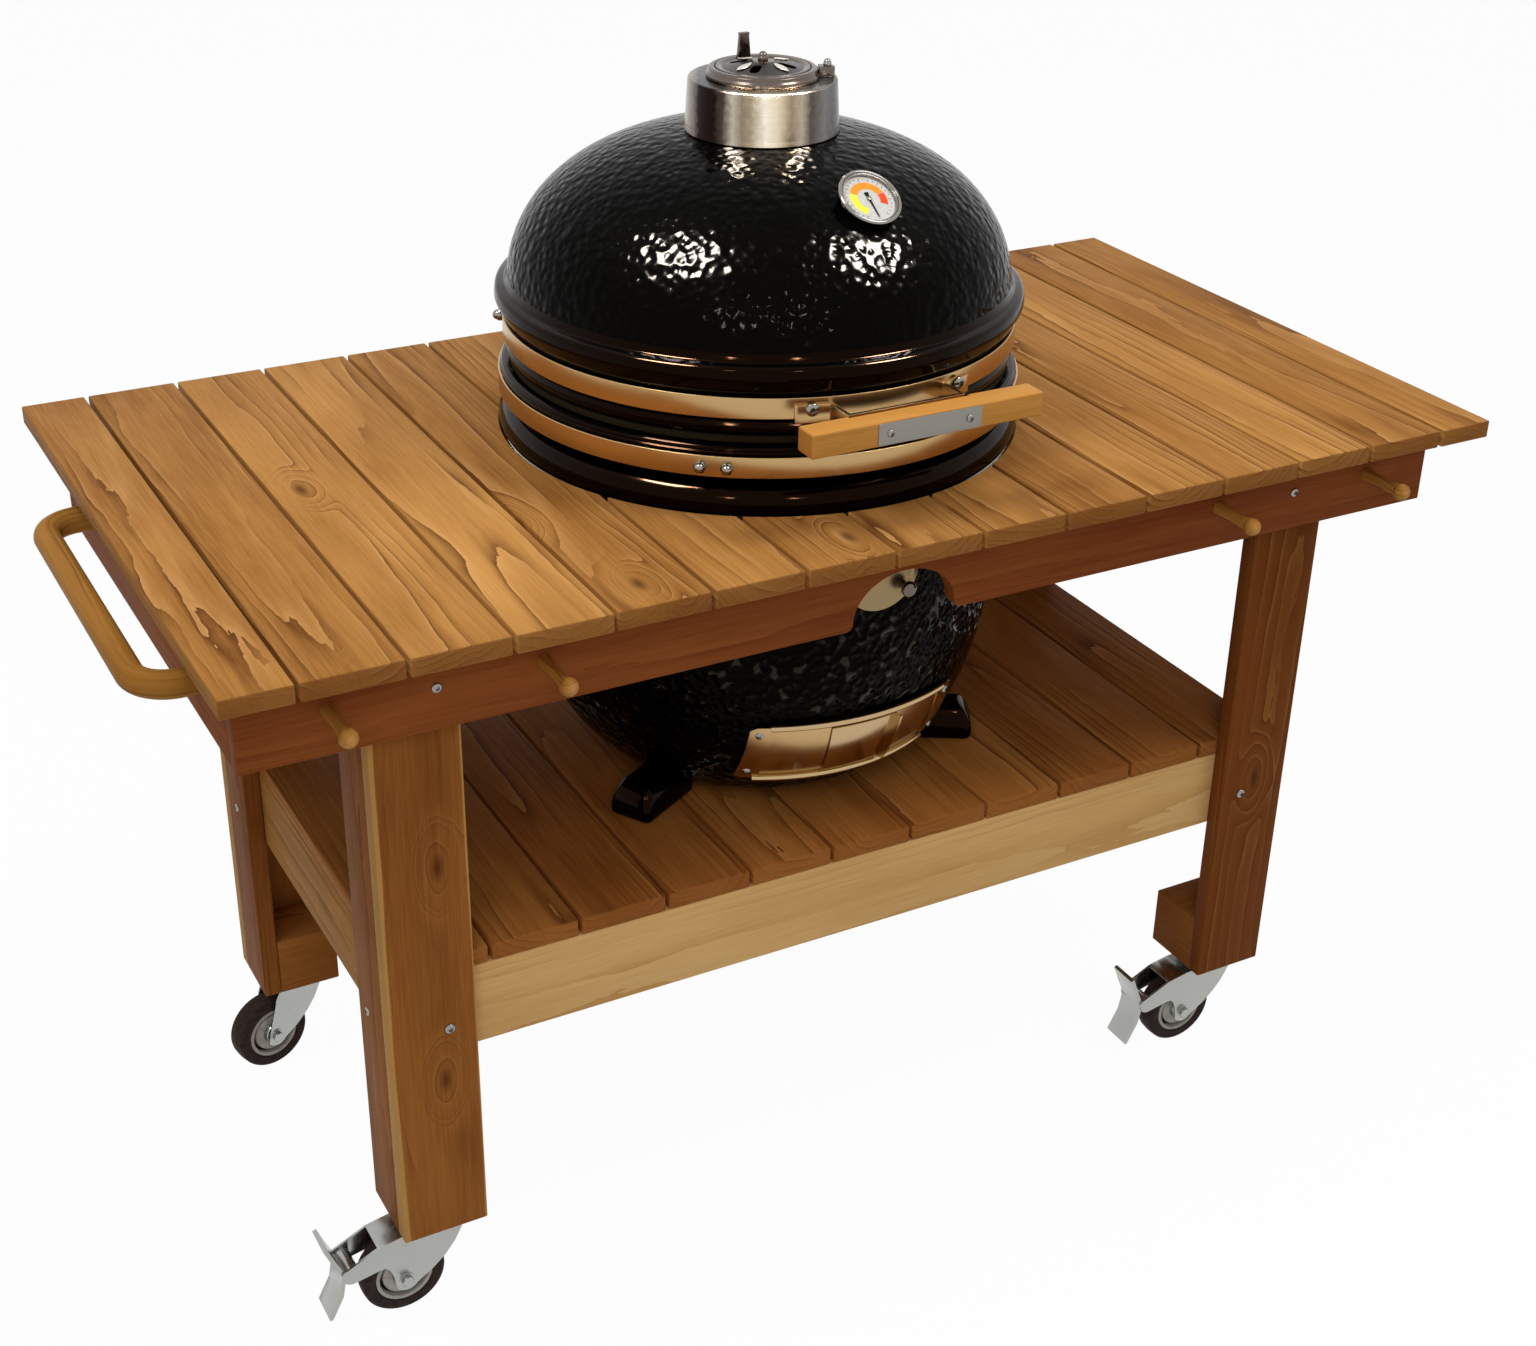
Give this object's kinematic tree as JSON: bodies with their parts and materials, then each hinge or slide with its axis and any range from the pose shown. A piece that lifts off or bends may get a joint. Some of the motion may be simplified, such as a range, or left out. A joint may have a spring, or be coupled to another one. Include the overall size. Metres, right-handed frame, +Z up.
{
  "type": "kamado grill table",
  "caption": "Slatted teak table on swivel casters with a storage shelf, tool pegs, an end handle and a ceramic kamado cooker set in its top.",
  "frame": {"origin": "on the floor, under the middle of the whole object's bounding box", "axes": "+Z up, +X along the table's length away from the end handle, -Y towards the front with the pegs and the cooker's handle"},
  "size_m": [1.5678, 0.798, 1.3279],
  "materials": {
    "top_teak": "oiled teak, satin",
    "frame_teak": "oiled teak, darker, satin",
    "pale_teak": "oiled teak, honey, satin",
    "black_glaze": "gloss black glaze, pebbled",
    "stainless": "brushed",
    "chimney_steel": "brushed, satin",
    "zinc": "zinc-plated, satin",
    "caster_tyre": "dark rubber tread on a pale hub",
    "felt": "dark felt",
    "grate_iron": "seasoned",
    "fire_clay": "unglazed",
    "dial_case": "polished rim round a pale dial",
    "needle": "black"
  },
  "bodies": {
    "table": {"top_board_01": "top_teak", "top_board_02": "top_teak", "top_board_03": "top_teak", "top_board_04": "top_teak", "top_board_05": "top_teak", "top_board_11": "top_teak", "top_board_12": "top_teak", "top_board_13": "top_teak", "top_board_14": "top_teak", "top_board_15": "top_teak", "top_front_boards": "top_teak", "top_back_boards": "top_teak", "front_apron": "frame_teak", "back_apron": "frame_teak", "left_apron": "frame_teak", "right_apron": "frame_teak", "front_left_leg": "frame_teak", "front_right_leg": "frame_teak", "back_left_leg": "frame_teak", "back_right_leg": "frame_teak", "front_rail": "pale_teak", "back_rail": "pale_teak", "left_rail": "pale_teak", "right_rail": "pale_teak", "shelf_deck": "top_teak", "end_handle": "pale_teak", "front_left_caster_plate": "zinc", "front_right_caster_plate": "zinc", "back_left_caster_plate": "zinc", "back_right_caster_plate": "zinc", "base_bowl": "black_glaze", "base_band": "stainless", "gasket": "felt", "draft_frame": "stainless", "bowl_foot_1": "black_glaze", "bowl_foot_2": "black_glaze", "bowl_foot_3": "black_glaze", "firebox": "fire_clay", "cooking_grate": "grate_iron"},
    "lid": {"lid_dome": "black_glaze", "lid_band": "stainless", "lid_handle_bracket": "stainless", "lid_handle_bar": "pale_teak", "chimney_collar": "chimney_steel", "thermometer_case": "dial_case"},
    "chimney_cap": {"cap_ring": "chimney_steel"},
    "damper": {"damper_wheel": "chimney_steel"},
    "needle": {"thermometer_needle": "needle"},
    "draft_slider": {"draft_door": "stainless"},
    "port_cap": {"port_cover": "stainless"},
    "front_left_swivel": {"front_left_fork": "zinc"},
    "front_right_swivel": {"front_right_fork": "zinc"},
    "back_left_swivel": {"back_left_fork": "zinc"},
    "back_right_swivel": {"back_right_fork": "zinc"},
    "front_left_roller": {"front_left_wheel": "caster_tyre"},
    "front_right_roller": {"front_right_wheel": "caster_tyre"},
    "back_left_roller": {"back_left_wheel": "caster_tyre"},
    "back_right_roller": {"back_right_wheel": "caster_tyre"},
    "front_left_brake": {"front_left_pedal": "zinc"},
    "front_right_brake": {"front_right_pedal": "zinc"}
  },
  "joints": [
    {"name": "lid_hinge", "type": "hinge", "parent": "table", "child": "lid", "pos_m": [0.02195, 0.3365, 0.9962], "axis": [-1, 0, 0], "range_deg": [0, 75]},
    {"name": "cap_swing", "type": "hinge", "parent": "lid", "child": "chimney_cap", "pos_m": [0.08635, -0.01717, 1.2901], "axis": [0, 0, -1], "range_deg": [0, 110]},
    {"name": "damper_turn", "type": "hinge", "parent": "chimney_cap", "child": "damper", "pos_m": [0.02195, 0.0115, 1.2976], "axis": [0, 0, 1], "range_deg": [0, 45]},
    {"name": "needle_sweep", "type": "hinge", "parent": "lid", "child": "needle", "pos_m": [0.03941, -0.19215, 1.20497], "axis": [-0.0505, 0.5886, -0.8068], "range_deg": [0, 290]},
    {"name": "draft_slide", "type": "hinge", "parent": "table", "child": "draft_slider", "pos_m": [0.02195, 0.0115, 0.5822], "axis": [0, 0, -1], "range_deg": [0, 14]},
    {"name": "port_turn", "type": "hinge", "parent": "table", "child": "port_cap", "pos_m": [0.02195, -0.27659, 0.8162], "axis": [0, -1, 0], "range_deg": [0, 90]},
    {"name": "front_left_swivel_turn", "type": "hinge", "parent": "table", "child": "front_left_swivel", "pos_m": [-0.5299, -0.25745, 0.1147], "axis": [0, 0, 1], "continuous": true},
    {"name": "front_right_swivel_turn", "type": "hinge", "parent": "table", "child": "front_right_swivel", "pos_m": [0.5738, -0.25745, 0.1147], "axis": [0, 0, 1], "continuous": true},
    {"name": "back_left_swivel_turn", "type": "hinge", "parent": "table", "child": "back_left_swivel", "pos_m": [-0.5299, 0.25505, 0.1147], "axis": [0, 0, 1], "continuous": true},
    {"name": "back_right_swivel_turn", "type": "hinge", "parent": "table", "child": "back_right_swivel", "pos_m": [0.5738, 0.25505, 0.1147], "axis": [0, 0, 1], "continuous": true},
    {"name": "front_left_wheel_roll", "type": "hinge", "parent": "front_left_swivel", "child": "front_left_roller", "pos_m": [-0.5719, -0.25745, 0.05], "axis": [0, 1, 0], "continuous": true},
    {"name": "front_right_wheel_roll", "type": "hinge", "parent": "front_right_swivel", "child": "front_right_roller", "pos_m": [0.5318, -0.25745, 0.05], "axis": [0, 1, 0], "continuous": true},
    {"name": "back_left_wheel_roll", "type": "hinge", "parent": "back_left_swivel", "child": "back_left_roller", "pos_m": [-0.57065, 0.24489, 0.05], "axis": [-0.2419, 0.9703, 0], "continuous": true},
    {"name": "back_right_wheel_roll", "type": "hinge", "parent": "back_right_swivel", "child": "back_right_roller", "pos_m": [0.5318, 0.25505, 0.05], "axis": [0, 1, 0], "continuous": true},
    {"name": "front_left_brake_press", "type": "hinge", "parent": "front_left_swivel", "child": "front_left_brake", "pos_m": [-0.6339, -0.25745, 0.082], "axis": [0, -1, 0], "range_deg": [0, 18]},
    {"name": "front_right_brake_press", "type": "hinge", "parent": "front_right_swivel", "child": "front_right_brake", "pos_m": [0.4698, -0.25745, 0.082], "axis": [0, -1, 0], "range_deg": [0, 18]}
  ]
}
